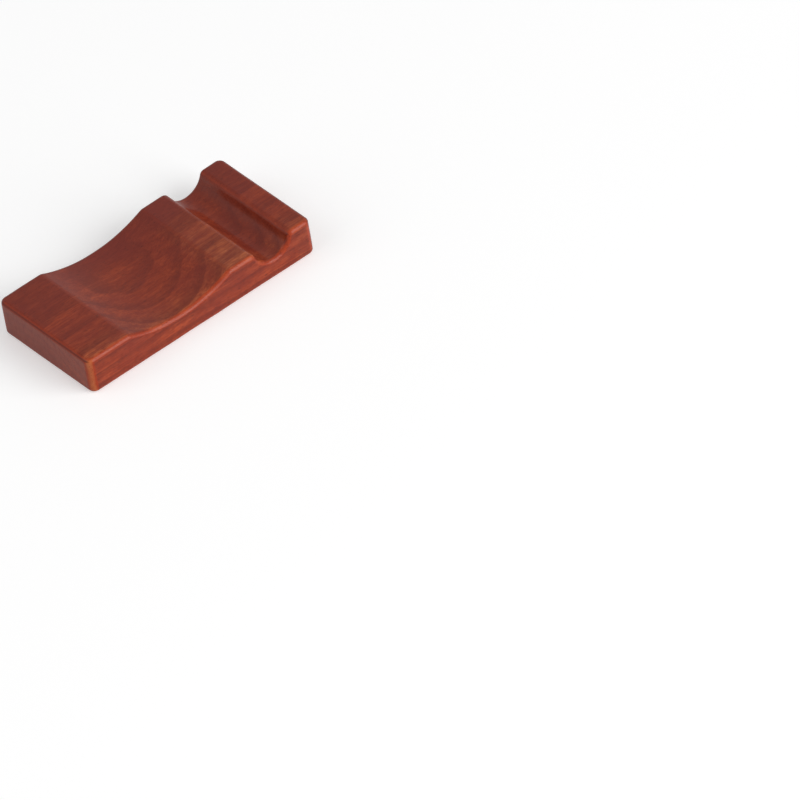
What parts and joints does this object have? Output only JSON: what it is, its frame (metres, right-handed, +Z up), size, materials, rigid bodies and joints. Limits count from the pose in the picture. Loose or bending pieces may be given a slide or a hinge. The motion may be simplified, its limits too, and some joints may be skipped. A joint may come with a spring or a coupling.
{
  "type": "chopstick rest",
  "caption": "Flat rectangular hardwood table rest with a wide shallow hollow and a narrow groove milled across its top, and softly rounded edges.",
  "frame": {"origin": "middle of the flat underside that it stands on", "axes": "+X along the block towards the narrow groove's end, +Y across the block along both channels, +Z up"},
  "size_m": [0.08, 0.04, 0.012],
  "materials": {
    "lacquered_hardwood": "red-brown stained fine-grained hardwood under a thin satin clear lacquer"
  },
  "bodies": {
    "root": {"rest_block": "lacquered_hardwood"}
  },
  "joints": []
}
